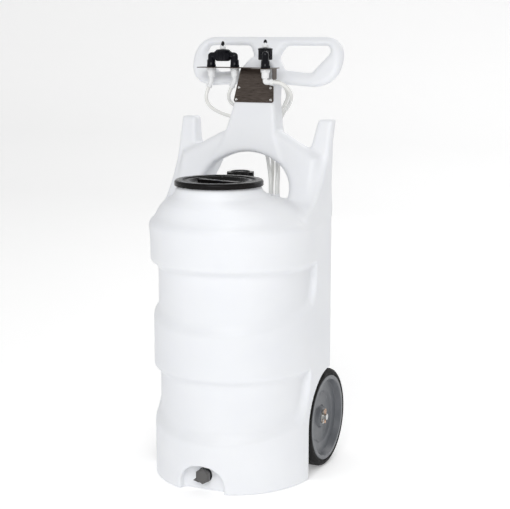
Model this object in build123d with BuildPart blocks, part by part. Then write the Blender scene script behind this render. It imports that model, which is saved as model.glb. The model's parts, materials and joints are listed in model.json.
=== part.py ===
from build123d import *
from math import cos, hypot, pi, radians, sin, tan
import os

# Portable waste tote: a rolling tank with a moulded frame and handle, two wheels,
# a lid, a vent cap, a drain and two valves on a steel bracket. Millimetres.
# Frame: origin on the floor under the round tank's axis, -Y the front, +Z up.

os.makedirs("parts", exist_ok=True)

# ---------------------------------------------------------------- driving dimensions
WALL = 6.0                  # moulded wall
GAP = 0.3                   # clearance between pieces that move apart
STEP = 1.0                  # set-in of the shoulder from the walls below it
FIT = 0.05                  # radial clearance of a running fit

TANK_R = 204.0
REAR_Y = 172.0              # flat back of the body
REAR_CORNER_R = 45.0
BODY_TOP = 650.0            # where the shoulder starts
UPPER_WAIST_R = 190.5
LOWER_WAIST_R = 187.5
UPPER_WAIST_TOP = 558.0
LOWER_WAIST_TOP = 290.0
UPPER_WAIST_REAR = 46.0      # where the upper waist ends on the sides
WAIST_RAMP = 13.0           # height of the sloping underside of a band
CORE_R = 181.0              # hollow inside the waists
FLOOR = 7.0

LID_Y = -87.0               # axis of the mouth, lid and neck
NECK_R = 100.0
NECK_BORE_R = 92.0
NECK_BASE = 736.0
NECK_TOP = 751.0
LID_R = 108.5
LID_TOP = 761.0
LID_SKIRT = 14.5            # height of the lid's rim

AXLE_Y = 134.7
WHEEL_R = 127.0             # 10 inch wheel
AXLE_Z = WHEEL_R
AXLE_R = 8.0
POCKET_R = 134.0
POCKET_X = 150.0            # inner wall of a wheel pocket
FENDER_R = 160.0            # front edge of the lip around a pocket
WHEEL_OUT = 203.0
WHEEL_IN = 157.0
RIM_R = 110.0
TYRE_SEAT_R = 104.0

LEAN = 0.414                # rearward lean of the arch and handle, per unit of height
HANDLE_MID = (202.0, 1040.0)        # y, z of a point in the handle's middle plane
HANDLE_TOP = 1100.0
HANDLE_BOTTOM = 974.5
HANDLE_HALF = 209.0
HORN_OUT = 211.0
ARCH_HALF = 127.0           # half width of the opening under the arch
ARCH_SPRING = 708.0         # height where the opening starts to close
ARCH_TOP = 813.0

DRAIN_Z = 40.0
DRAIN_BORE_R = 15.0
NOTCH_HALF = 58.0
NOTCH_SPRING = 24.0
NOTCH_TOP = 68.0
NOTCH_Y = -172.0            # flat wall at the back of the drain notch

VENT = (-20.0, 80.0)        # x, y of the vent cap
VENT_Z = 728.0              # flat under the vent cap
VENT_BORE_R = 16.0

HOSE_R = 4.75
HOSE_SPOTS = {"left_outer": (40.0, 134.0), "left_inner": (34.0, 156.0),
              "right_front": (57.0, 134.0), "right_rear": (51.0, 156.0)}  # on the rear deck
PAD_Z = 690.0               # flat of the deck under the hose fittings

SHELF_Z = 1022.0            # underside of the bracket's shelf
STEEL = 2.0                 # bracket sheet
POST_LEAN = 0.282
POST_FOOT = (115.3, 932.0)  # y, z where the bracket's plate starts on the post
PLATE_HALF_LOW = 56.0
PLATE_HALF_HIGH = 45.0
LEFT_VALVE = (-92.0, 130.0, 0.0)    # x, y and turn about Z of the left valve
RIGHT_VALVE = (44.0, 91.0, -66.0)
VALVE_LIFT = {"left": 0.0, "right": 5.0}    # how much higher each valve sits on its elbows
ELBOW_REACH = 33.2          # valve middle to elbow axis
VALVE_Z = 1046.0            # flow axis of a valve that is not lifted
VALVE_BODY_R = 17.0


# ---------------------------------------------------------------- helpers
def export(part, name):
    """Label a finished piece and write it."""
    part.label = name
    export_step(part, f"parts/{name}.step")


def side_plane(x):
    """Plane across X: its x runs along +Y and its y along +Z."""
    return Plane(origin=(x, 0, 0), x_dir=(0, 1, 0), z_dir=(1, 0, 0))


def front_plane(y):
    """Plane across Y that faces the front: its x runs along +X and its y along +Z."""
    return Plane(origin=(0, y, 0), x_dir=(1, 0, 0), z_dir=(0, -1, 0))


def rounded_outline(corners, inset=0.0):
    """Closed outline from (across, up, corner radius), drawn inset for a hollow."""
    with BuildSketch() as shape:
        with BuildLine():
            points = [(across, up) for across, up, radius in corners]
            radii = [radius for across, up, radius in corners]
            FilletPolyline(*points, radius=radii, close=True)
        make_face()
        if inset:
            offset(amount=-inset, kind=Kind.INTERSECTION, mode=Mode.REPLACE)
    return shape.sketch


def mirrored(corners):
    """The right half of a front view, and its mirror image, as one closed outline."""
    return corners + [(-across, up, radius) for across, up, radius in reversed(corners)]


def crossed(front, side, inset=0.0):
    """Solid whose front view and side view are the two outlines."""
    with BuildPart() as solid:
        with BuildSketch(front_plane(0)):
            add(rounded_outline(front, inset))
        extrude(amount=300, both=True)
        with BuildSketch(side_plane(0)):
            add(rounded_outline(side, inset))
        extrude(amount=300, both=True, mode=Mode.INTERSECT)
    return solid.part


def revolved(outline, plane):
    """Turn a closed (radius, height) outline about the plane's own y axis."""
    with BuildPart() as ring:
        with BuildSketch(plane):
            with BuildLine():
                Polyline(*outline, close=True)
            make_face()
        revolve(axis=Axis(plane.origin, plane.y_dir))
    return ring.part


def rod(start, direction, radius, length):
    """Plain round bar."""
    with BuildPart() as bar:
        with BuildSketch(Plane(origin=start, z_dir=direction)):
            Circle(radius)
        extrude(amount=length)
    return bar.part


# ---------------------------------------------------------------- tank, outside
def body_plan(radius, rear, corner):
    """Round front and flat back, joined by straight sides."""
    with BuildSketch() as plan:
        Circle(radius)
        with Locations((0, rear / 2)):
            Rectangle(2 * radius, rear)
        with Locations((0, rear + radius)):
            Rectangle(2 * radius, 2 * radius, mode=Mode.SUBTRACT)
        back = plan.vertices().sort_by(Axis.Y)[-2:]
        fillet(back, corner)
    return plan.sketch


def waist(side_view, radius, top):
    """What is cut away to leave a waist: a slab seen from the side, less the core."""
    with BuildPart() as cut:
        with BuildSketch(side_plane(0)):
            with BuildLine():
                side_view()
            make_face()
        extrude(amount=TANK_R + 40, both=True)
        ramp = [(0, top - WAIST_RAMP), (radius, top - WAIST_RAMP), (TANK_R, top),
                (TANK_R, top + 60), (0, top + 60)]
        add(revolved(ramp, front_plane(0)), mode=Mode.SUBTRACT)
        with BuildSketch():
            add(body_plan(radius, REAR_Y, REAR_CORNER_R))
        extrude(amount=top - WAIST_RAMP, mode=Mode.SUBTRACT)
    return cut.part


def upper_side_view():
    """Upper waist from the side: its floor sweeps up towards the back."""
    end = (UPPER_WAIST_REAR, 462)
    Polyline(end, (end[0], UPPER_WAIST_TOP), (-240, UPPER_WAIST_TOP), (-240, 405))
    Spline((-240, 405), (-190, 408), (-85, 430), end)


def lip_point(angle):
    """Point on the front edge of the lip around the wheel pocket, in the side view."""
    return (AXLE_Y - FENDER_R * cos(radians(angle)), AXLE_Z + FENDER_R * sin(radians(angle)))


def lower_side_view():
    """Lower waist from the side: it ends on the lip around the wheel pocket."""
    low = lip_point(16)
    high = lip_point(60)
    ThreePointArc(low, lip_point(38), high)
    Polyline(high, (high[0], LOWER_WAIST_TOP), (-240, LOWER_WAIST_TOP), (-240, 136))
    Spline((-240, 136), (-190, 139), (-110, 153), low)


with BuildPart() as shoulder:
    with BuildSketch(Plane.XY.offset(BODY_TOP - STEP)):
        Circle(TANK_R - STEP)
    with BuildSketch(Plane(origin=(0, -44, 706))):
        Circle(161)
    with BuildSketch(Plane(origin=(0, LID_Y, NECK_BASE))):
        Circle(NECK_R + 5)
    loft()
    with Locations((0, REAR_Y + TANK_R, BODY_TOP)):
        Box(4 * TANK_R, 2 * (TANK_R + 2 * STEP), 400, mode=Mode.SUBTRACT)

DECK_VIEW = [(-30, 640), (-30, 655), (10, 690), (60, 706), (110, 702), (124, PAD_Z), (REAR_Y, PAD_Z),
             (REAR_Y, 640)]
DECK_HOLLOW = [(-20, 630), (-20, 650), (10, 681), (60, 697), (108, 693), (120, PAD_Z - 7),
               (REAR_Y - 8, PAD_Z - 7), (REAR_Y - 8, 630)]


def deck_block(side_view, radius, rear):
    """Low roof behind the lid: a side view, cut to the body's plan."""
    with BuildPart() as block:
        with BuildSketch(side_plane(0)):
            with BuildLine():
                Polyline(*side_view, close=True)
            make_face()
        extrude(amount=TANK_R, both=True)
        with BuildSketch(Plane.XY.offset(600)):
            add(body_plan(radius, rear, REAR_CORNER_R))
        extrude(amount=200, mode=Mode.INTERSECT)
    return block.part


with BuildPart() as body_outside:
    with BuildSketch():
        add(body_plan(TANK_R, REAR_Y, REAR_CORNER_R))
    extrude(amount=BODY_TOP)
    add(shoulder.part)
    add(deck_block(DECK_VIEW, TANK_R - STEP, REAR_Y - STEP))
    # flats under the vent and the hose fittings
    with BuildSketch(Plane.XY.offset(640)):
        with Locations(VENT):
            Circle(40)
    extrude(amount=VENT_Z - 640)
    with BuildSketch(Plane.XY.offset(VENT_Z)):
        with Locations(VENT):
            Circle(44)
    extrude(amount=40, mode=Mode.SUBTRACT)
    with BuildSketch(Plane.XY.offset(PAD_Z)):
        with Locations((45, 146)):
            Rectangle(60, 44)
    extrude(amount=40, mode=Mode.SUBTRACT)
    with BuildSketch(Plane(origin=(0, LID_Y, NECK_BASE - 20))):
        Circle(NECK_R)
    extrude(amount=NECK_TOP - NECK_BASE + 20)
    add(waist(upper_side_view, UPPER_WAIST_R, UPPER_WAIST_TOP), mode=Mode.SUBTRACT)
    add(waist(lower_side_view, LOWER_WAIST_R, LOWER_WAIST_TOP), mode=Mode.SUBTRACT)


# ---------------------------------------------------------------- tank, cut-outs
def wheel_pocket(side, grow):
    """Quarter arch through a rear lower corner, grown by a wall for the hollow."""
    radius = POCKET_R + grow
    rear = REAR_Y + 80
    with BuildPart() as pocket:
        with BuildSketch(side_plane(side * (POCKET_X - grow))):
            with BuildLine():
                front = (AXLE_Y - radius, AXLE_Z)
                top = (AXLE_Y, AXLE_Z + radius)
                diagonal = radius * cos(pi / 4)
                ThreePointArc(front, (AXLE_Y - diagonal, AXLE_Z + diagonal), top)
                Polyline(top, (rear, top[1]), (rear, -20), (front[0], -20), front)
            make_face()
        extrude(amount=side * 100)
    return pocket.part


def drain_notch(grow):
    """Arched notch at the foot of the front, with a flat back wall."""
    with BuildPart() as notch:
        with BuildSketch(front_plane(NOTCH_Y + grow)):
            Rectangle(2 * (NOTCH_HALF + grow), 2 * NOTCH_SPRING)
            with Locations((0, NOTCH_SPRING)):
                Ellipse(NOTCH_HALF + grow, NOTCH_TOP - NOTCH_SPRING + grow)
        extrude(amount=80 + grow)
    return notch.part


REAR_HOLLOW = UPPER_WAIST_REAR + WALL       # where the hollow widens to the side walls
with BuildPart() as tank_hollow:
    with BuildSketch(Plane.XY.offset(FLOOR)):
        Circle(CORE_R)
        with Locations((0, REAR_HOLLOW / 2 + 2)):
            Rectangle(2 * CORE_R, REAR_HOLLOW + 4)
    extrude(amount=BODY_TOP - FLOOR)
    with BuildSketch(Plane.XY.offset(BODY_TOP - 2 * STEP)):
        Circle(CORE_R)
    with BuildSketch(Plane(origin=(0, -42, 699))):
        Circle(150)
    with BuildSketch(Plane(origin=(0, LID_Y, NECK_BASE - WALL))):
        Circle(NECK_BORE_R)
    loft()
    with BuildSketch(Plane(origin=(0, LID_Y, NECK_BASE - WALL))):
        Circle(NECK_BORE_R)
    extrude(amount=60)
    # the bands are hollow too
    for low, high in ((FLOOR, 118), (LOWER_WAIST_TOP + WALL, 386), (UPPER_WAIST_TOP + WALL, BODY_TOP - 8)):
        with BuildSketch(Plane.XY.offset(low)):
            Circle(TANK_R - WALL - STEP)
        extrude(amount=high - low)
    # behind the round tank
    with BuildSketch(Plane.XY.offset(FLOOR)):
        add(body_plan(TANK_R - WALL, REAR_Y - WALL, REAR_CORNER_R - WALL))
        with Locations((0, REAR_HOLLOW - TANK_R)):
            Rectangle(2 * TANK_R, 2 * TANK_R, mode=Mode.SUBTRACT)
    extrude(amount=BODY_TOP - 2 * WALL)
    add(deck_block(DECK_HOLLOW, TANK_R - WALL - STEP, REAR_Y - WALL - STEP))
    with Locations((0, REAR_Y - WALL + TANK_R, 400)):
        Box(4 * TANK_R, 2 * TANK_R, 1000, mode=Mode.SUBTRACT)
    for side in (-1, 1):
        add(wheel_pocket(side, WALL), mode=Mode.SUBTRACT)
    add(drain_notch(WALL), mode=Mode.SUBTRACT)
    # moulded tunnel around the axle
    add(rod((-TANK_R, AXLE_Y, AXLE_Z), (1, 0, 0), AXLE_R + 2 * WALL, 2 * TANK_R), mode=Mode.SUBTRACT)

with BuildPart() as tank:
    add(body_outside.part)
    add(tank_hollow.part, mode=Mode.SUBTRACT)
    for side in (-1, 1):
        add(wheel_pocket(side, 0), mode=Mode.SUBTRACT)
    add(drain_notch(0), mode=Mode.SUBTRACT)
    add(rod((-TANK_R, AXLE_Y, AXLE_Z), (1, 0, 0), AXLE_R + GAP, 2 * TANK_R), mode=Mode.SUBTRACT)
    add(rod((0, NOTCH_Y - 5, DRAIN_Z), (0, 1, 0), DRAIN_BORE_R, 20), mode=Mode.SUBTRACT)
    add(rod((VENT[0], VENT[1], 640), (0, 0, 1), VENT_BORE_R, 100), mode=Mode.SUBTRACT)
    for x, y in HOSE_SPOTS.values():
        add(rod((x, y, 600), (0, 0, 1), HOSE_R + 0.5, 120), mode=Mode.SUBTRACT)

# The moulding is one piece: it is cut into simple parts that touch, to keep its hollow.
BASE_TOP = 72.0
ROOF_LOW = 636.0
levels = [("tank_base", -10, BASE_TOP), ("tank_roof", ROOF_LOW, 800)]
for name, low, high in levels:
    with BuildPart() as level:
        add(tank.part)
        with Locations((0, 0, (low + high) / 2)):
            Box(600, 600, high - low, mode=Mode.INTERSECT)
    for side, half in ((-1, "left"), (1, "right")):
        with BuildPart() as block:
            add(level.part)
            with Locations((side * 150, 0, (low + high) / 2)):
                Box(300, 700, high - low + 40, mode=Mode.INTERSECT)
        export(block.part, f"{name}_{half}")
for y_side, name in ((-1, "front"), (1, "rear")):
    for side, half in ((-1, "left"), (1, "right")):
        with BuildPart() as wall:
            add(tank.part)
            with Locations((side * 150, y_side * 150, (BASE_TOP + ROOF_LOW) / 2)):
                Box(300, 300, ROOF_LOW - BASE_TOP, mode=Mode.INTERSECT)
        export(wall.part, f"tank_{name}_{half}")


# ---------------------------------------------------------------- frame: arms, arch, horns, post, handle
def leaning(z, mid, half):
    """Front and back y of a leaning slab at a height."""
    centre = mid[0] + LEAN * (z - mid[1])
    return centre - half, centre + half


ARM_FRONT = mirrored([(118, 655, 0), (204, 655, 0), (HORN_OUT, 800, 60), (HORN_OUT, 896, 13),
                      (171, 896, 13), (158, 820, 10), (118, 834, 0)])
ARM_SIDE = [(-20, 640, 0), (-27, 668, 10), (52, 729, 80), (105, 793, 40), (112, 848, 60),
            (130, 896, 10), (166, 896, 10), (155, 840, 80), (158, 740, 80), (REAR_Y, 680, 60),
            (REAR_Y, 640, 0)]
ARCH_FRONT = mirrored([(175, 655, 0), (175, 806, 0), (140, 826, 40), (62, 862, 0)])
ARCH_SIDE = [(18, 640, 0), (24, 680, 60), (58, 757, 80), (97, 862, 0), (146, 862, 0),
             (106, 757, 80), (84, 680, 60), (84, 640, 0)]
POST_FRONT = mirrored([(96, 795, 0), (74, 845, 90), (56.6, 932, 200), (45.5, 1022, 10),
                       (24, 1050, 0), (24, 1056, 0)])
POST_SIDE = [(84, 795, 0), (96, 848, 200), (115.3, 932, 200), (140.4, 1021, 0), (149, 1052, 0),
             (206, 1052, 0), (198, 1021, 100), (172, 932, 200), (153, 848, 200), (138, 795, 0)]
HANDLE_OUTLINE = mirrored([(64, 980, 0), (141, HANDLE_BOTTOM, 60), (HANDLE_HALF, 985, 58),
                           (HANDLE_HALF, HANDLE_TOP, 52)])
GRIP_HOLE = [(53, 1077, 14), (167.8, 1077.5, 8), (176, 1062, 8), (131, 1009, 14),
             (52, 1016, 12), (34, 1040, 14), (34, 1058, 12)]
HANDLE_THICK = 19.5


def frame_solid(inset):
    """Arms with horns, arch, post and handle as one solid, drawn inset for its hollow."""
    front_low, back_low = leaning(960, HANDLE_MID, HANDLE_THICK)
    front_high, back_high = leaning(1115, HANDLE_MID, HANDLE_THICK)
    handle_side = [(front_low, 960, 0), (front_high, 1115, 0), (back_high, 1115, 0), (back_low, 960, 0)]
    with BuildPart() as frame:
        add(crossed(ARM_FRONT, ARM_SIDE, inset))
        with BuildSketch(front_plane(0)):
            Rectangle(2 * (118 + inset), 2 * 870)
        extrude(amount=300, both=True, mode=Mode.SUBTRACT)
        add(crossed(ARCH_FRONT, ARCH_SIDE, inset))
        add(crossed(POST_FRONT, POST_SIDE, inset))
        with BuildSketch(front_plane(0)):
            Rectangle(2 * (ARCH_HALF + inset), 2 * ARCH_SPRING)
            with Locations((0, ARCH_SPRING)):
                Ellipse(ARCH_HALF + inset, ARCH_TOP - ARCH_SPRING + inset)
        extrude(amount=300, both=True, mode=Mode.SUBTRACT)
        add(crossed(HANDLE_OUTLINE, handle_side, inset))
        for side in (-1, 1):
            with BuildSketch(front_plane(0)):
                add(rounded_outline([(side * x, z, r) for x, z, r in GRIP_HOLE], -inset))
            extrude(amount=300, both=True, mode=Mode.SUBTRACT)
    return frame.part


with BuildPart() as frame:
    add(frame_solid(0))
    add(frame_solid(WALL), mode=Mode.SUBTRACT)
    add(body_outside.part, mode=Mode.SUBTRACT)


# ---------------------------------------------------------------- lid and vent
def turning_plane(x, y):
    """Plane through a vertical axis; its x is the radius and its y the height."""
    return Plane(origin=(x, y, 0), x_dir=(1, 0, 0), z_dir=(0, -1, 0))


lid_outline = [(0, 754), (0, 759), (62, 758), (64, 756), (88, 756), (91, LID_TOP), (104, LID_TOP),
               (LID_R, LID_TOP - 4), (LID_R, LID_TOP - LID_SKIRT), (NECK_R + 1, LID_TOP - LID_SKIRT),
               (NECK_R + 1, 754)]
export(revolved(lid_outline, turning_plane(0, LID_Y)), "lid")
gasket_outline = [(93, NECK_TOP + GAP), (99, NECK_TOP + GAP), (99, 754 - GAP), (93, 754 - GAP)]
export(revolved(gasket_outline, turning_plane(0, LID_Y)), "lid_gasket")

VENT_NECK_TOP = VENT_Z + 17
vent_outline = [(11, VENT_Z - 14), (VENT_BORE_R - 0.2, VENT_Z - 14), (VENT_BORE_R - 0.2, VENT_Z),
                (27, VENT_Z), (27, VENT_Z + 4), (15, VENT_Z + 5), (15, VENT_NECK_TOP), (11, VENT_NECK_TOP)]
export(revolved(vent_outline, turning_plane(*VENT)), "vent_bulkhead")
seal_outline = [(11.5, VENT_NECK_TOP + GAP), (14.5, VENT_NECK_TOP + GAP), (14.5, VENT_NECK_TOP + 2),
                (11.5, VENT_NECK_TOP + 2)]
export(revolved(seal_outline, turning_plane(*VENT)), "vent_gasket")

LOBES = 8
VENT_CAP_TOP = 765.0
with BuildPart() as vent_cap:
    with BuildSketch(Plane.XY.offset(VENT_Z + 6)):
        with Locations(VENT):
            Circle(31)
            with PolarLocations(31.5, LOBES):
                Circle(5)
    extrude(amount=VENT_CAP_TOP - VENT_Z - 6)
    top_edges = vent_cap.faces().sort_by(Axis.Z)[-1].edges()
    fillet(top_edges, 1.5)
    with BuildSketch(Plane.XY.offset(VENT_Z + 6)):
        with Locations(VENT):
            Circle(15 + GAP)
    extrude(amount=VENT_NECK_TOP + 2 + GAP - VENT_Z - 6, mode=Mode.SUBTRACT)
export(vent_cap.part, "vent_cap")


# ---------------------------------------------------------------- drain
def drain_plane(y):
    """Plane across the drain's axis that faces the front."""
    return Plane(origin=(0, y, DRAIN_Z), x_dir=(1, 0, 0), z_dir=(0, -1, 0))


DRAIN_TUBE_R = 10.0
WASHER_FACE = NOTCH_Y - 2.0
FLANGE_FACE = WASHER_FACE - 6.0
with BuildPart() as drain_gasket:
    with BuildSketch(drain_plane(NOTCH_Y)):
        Circle(19)
        Circle(DRAIN_BORE_R, mode=Mode.SUBTRACT)
    extrude(amount=2)
export(drain_gasket.part, "drain_gasket")

with BuildPart() as drain_bulkhead:
    with BuildSketch(drain_plane(WASHER_FACE)):
        RegularPolygon(20, 6, rotation=30)
    extrude(amount=6)
    with BuildSketch(drain_plane(NOTCH_Y + 22)):
        Circle(DRAIN_BORE_R - 0.2)
    extrude(amount=24)
    with BuildSketch(drain_plane(NOTCH_Y + 30)):
        Circle(DRAIN_TUBE_R)
    extrude(amount=60, mode=Mode.SUBTRACT)
export(drain_bulkhead.part, "drain_bulkhead")

with BuildPart() as drain_nut:
    with BuildSketch(drain_plane(NOTCH_Y + WALL + 8)):
        RegularPolygon(23, 6)
        Circle(DRAIN_BORE_R, mode=Mode.SUBTRACT)
    extrude(amount=8)
export(drain_nut.part, "drain_nut")

with BuildPart() as drain_plug:
    with BuildSketch(drain_plane(FLANGE_FACE - GAP)):
        RegularPolygon(20, 6, rotation=30)
    extrude(amount=11)
    with BuildSketch(drain_plane(FLANGE_FACE - GAP - 3)):
        with Locations((-19, -9)):
            RegularPolygon(7, 3, rotation=200)
    extrude(amount=5)
    with BuildSketch(drain_plane(FLANGE_FACE - GAP)):
        Circle(DRAIN_TUBE_R - FIT)
    extrude(amount=-18)
export(drain_plug.part, "drain_plug")


# ---------------------------------------------------------------- wheels
BOSS_OUT = 190.0
BOSS_IN = 160.3
HUB_OUTLINE = [(AXLE_R + FIT, BOSS_IN), (AXLE_R + FIT, BOSS_OUT), (24, BOSS_OUT), (28, 187), (30, 182),
               (64, 182), (69, 186), (94, 187), (101, WHEEL_OUT), (RIM_R, WHEEL_OUT), (RIM_R, 199),
               (TYRE_SEAT_R, 197), (TYRE_SEAT_R, 163), (RIM_R, 161), (RIM_R, WHEEL_IN), (101, WHEEL_IN),
               (97, 180), (68, 180), (63, 176), (24, 176), (24, BOSS_IN)]
TYRE_OUTLINE = [(TYRE_SEAT_R, 163, 0), (TYRE_SEAT_R, 197, 0), (RIM_R, 199, 0), (113, WHEEL_OUT + 0.5, 2),
                (123, 202, 7), (WHEEL_R, 193, 5), (WHEEL_R, 167, 5), (123, 158, 7),
                (113, WHEEL_IN - 0.5, 2), (RIM_R, 161, 0)]


def wheel_plane(side):
    """Plane through the axle; its x is the radius and its y runs outward along the axle."""
    return Plane(origin=(0, AXLE_Y, AXLE_Z), x_dir=(0, 1, 0), z_dir=(0, 0, -side))


for side, name in ((-1, "left"), (1, "right")):
    export(revolved(HUB_OUTLINE, wheel_plane(side)), f"hub_{name}")
    with BuildPart() as tyre:
        with BuildSketch(wheel_plane(side)):
            add(rounded_outline(TYRE_OUTLINE))
        revolve(axis=Axis((0, AXLE_Y, AXLE_Z), (1, 0, 0)))
    export(tyre.part, f"tyre_{name}")

AXLE_END = 201.0
PIN_X = 196.0
PIN_R = 1.6
PIN_EYE = 1.2               # half thickness of a cotter pin's eye
with BuildPart() as axle:
    add(rod((-AXLE_END, AXLE_Y, AXLE_Z), (1, 0, 0), AXLE_R, 2 * AXLE_END))
    for side in (-1, 1):
        add(rod((side * PIN_X, AXLE_Y, AXLE_Z - 20), (0, 0, 1), PIN_R, 40), mode=Mode.SUBTRACT)
export(axle.part, "axle")

with BuildPart() as cotter_pins:
    for side in (-1, 1):
        add(rod((side * PIN_X, AXLE_Y, AXLE_Z - 17), (0, 0, 1), PIN_R, 30))
        with BuildSketch(side_plane(side * PIN_X)):
            with Locations((AXLE_Y, AXLE_Z + 16)):
                Circle(5)
                Circle(2.4, mode=Mode.SUBTRACT)
        extrude(amount=PIN_EYE, both=True)
export(cotter_pins.part, "cotter_pins")


def pair_of_rings(inner, outer, start, end):
    """The same ring around the axle at both ends."""
    with BuildPart() as rings:
        for side in (-1, 1):
            outline = [(inner, start), (outer, start), (outer, end), (inner, end)]
            add(revolved(outline, wheel_plane(side)))
    return rings.part


export(pair_of_rings(AXLE_R, 18, BOSS_OUT + GAP, BOSS_OUT + 2.5), "axle_washers")
export(pair_of_rings(AXLE_R, 13, POCKET_X, BOSS_IN - GAP), "axle_spacers")


# ---------------------------------------------------------------- bracket
post_slope = Vector(0, POST_LEAN, 1).normalized()
plate_normal = Vector(1, 0, 0).cross(post_slope)
plate_plane = Plane(origin=(0, *POST_FOOT), x_dir=(1, 0, 0), z_dir=plate_normal).offset(0.1)
PLATE_START = 4.0
PLATE_END = (SHELF_Z + 1.5 - POST_FOOT[1]) / post_slope.Z
SCREWS = [(-48, 11), (48, 11), (-44, 42), (44, 42)]
SHELF = [(-158, 108), (12, 108), (24, 44), (70, 44), (73, 60), (73, 96), (62, 140), (-48, 140),
         (-48, 152), (-158, 152)]
FLANGE_X = 73.0


def elbow_axes(valve):
    """The two places where a valve's elbows go down through the shelf."""
    x, y, turn = valve
    reach_x = ELBOW_REACH * cos(radians(turn))
    reach_y = ELBOW_REACH * sin(radians(turn))
    return [(x - reach_x, y - reach_y), (x + reach_x, y + reach_y)]


ELBOWS = elbow_axes(LEFT_VALVE) + elbow_axes(RIGHT_VALVE)
BULKHEAD_R = 7.5

with BuildPart() as bracket:
    with BuildSketch(plate_plane):
        with BuildLine():
            FilletPolyline((-PLATE_HALF_LOW, PLATE_START), (PLATE_HALF_LOW, PLATE_START),
                           (51, 47), (27, 52), (14, PLATE_END), (-PLATE_HALF_HIGH, PLATE_END),
                           radius=[5, 5, 3, 3, 0, 0], close=True)
        make_face()
        with Locations(*SCREWS):
            Circle(2.3, mode=Mode.SUBTRACT)
    extrude(amount=STEEL)
    with BuildSketch(Plane.XY.offset(SHELF_Z)):
        with BuildLine():
            Polyline(*SHELF, close=True)
        make_face()
        with Locations(*ELBOWS):
            Circle(BULKHEAD_R + 0.2, mode=Mode.SUBTRACT)
    extrude(amount=STEEL)
    with BuildSketch(side_plane(FLANGE_X)):
        with Locations((84, SHELF_Z - 12)):
            Rectangle(24, 28)
    extrude(amount=-STEEL)
export(bracket.part, "valve_bracket")

with BuildPart() as screws:
    with BuildSketch(plate_plane.offset(STEEL)):
        with Locations(*SCREWS):
            Circle(4.2)
    extrude(amount=2.4)
    with BuildSketch(plate_plane.offset(STEEL)):
        with Locations(*SCREWS):
            Circle(2.0)
    extrude(amount=-16)
export(screws.part, "bracket_screws")

with BuildPart() as drilled_frame:
    add(frame.part)
    with BuildSketch(plate_plane):
        with Locations(*SCREWS):
            Circle(2.05)
    extrude(amount=-16, mode=Mode.SUBTRACT)
export(drilled_frame.part, "handle_frame")


# ---------------------------------------------------------------- valves
def valve_plane(valve, z):
    """Level plane on a valve's middle, its x along the flow."""
    x, y, turn = valve
    return Plane(origin=(x, y, z), x_dir=(cos(radians(turn)), sin(radians(turn)), 0), z_dir=(0, 0, 1))


for valve, name in ((LEFT_VALVE, "left"), (RIGHT_VALVE, "right")):
    lift = VALVE_LIFT[name]
    level = valve_plane(valve, lift)
    along = level.x_dir
    with BuildPart() as valve_body:
        with BuildSketch(level.offset(1040)):
            Circle(VALVE_BODY_R)
        extrude(amount=26)
        with BuildSketch(level.offset(1043)):
            RectangleRounded(44, 26, 4)
        extrude(amount=14)
        with BuildSketch(level.offset(1066)):
            Circle(14)
        extrude(amount=4)
    export(valve_body.part, f"valve_body_{name}")
    with BuildPart() as elbows:
        for (x, y), way in zip(elbow_axes(valve), (1, -1)):
            with BuildSketch(Plane.XY.offset(SHELF_Z + STEEL + 3)):
                with Locations((x, y)):
                    Circle(11)
            extrude(amount=34 + lift)
            with BuildSketch(Plane.XY.offset(SHELF_Z + STEEL)):
                with Locations((x, y)):
                    RegularPolygon(12.5, 6)
            extrude(amount=7)
            start = Vector(x, y, VALVE_Z + 3 + lift)
            add(rod(start, along * way, 9.5, ELBOW_REACH - 22))
    export(elbows.part, f"valve_elbows_{name}")
    with BuildPart() as bonnet:
        with BuildSketch(level.offset(1070)):
            Circle(8)
            Circle(2.5 + FIT, mode=Mode.SUBTRACT)
        extrude(amount=9)
    export(bonnet.part, f"valve_bonnet_{name}")
    with BuildPart() as stem:
        with BuildSketch(level.offset(1070 + GAP)):
            Circle(2.5)
        extrude(amount=10)
        with BuildSketch(level.offset(1079 + GAP)):
            Circle(4.2)
        extrude(amount=9)
        with BuildSketch(level.offset(1079 + GAP)):
            Rectangle(15, 3)
        extrude(amount=3)
    export(stem.part, f"valve_stem_{name}")


# ---------------------------------------------------------------- fittings under the shelf
BULKHEAD_END = SHELF_Z - 24
with BuildPart() as bulkheads:
    for x, y in ELBOWS:
        with BuildSketch(Plane.XY.offset(BULKHEAD_END)):
            with Locations((x, y)):
                Circle(BULKHEAD_R)
        extrude(amount=SHELF_Z + STEEL - BULKHEAD_END)
export(bulkheads.part, "shelf_bulkheads")

with BuildPart() as bulkhead_nuts:
    for x, y in ELBOWS:
        with BuildSketch(Plane.XY.offset(SHELF_Z - 8)):
            with Locations((x, y)):
                RegularPolygon(11.5, 6)
                Circle(BULKHEAD_R, mode=Mode.SUBTRACT)
        extrude(amount=8)
export(bulkhead_nuts.part, "bulkhead_nuts")

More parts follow.
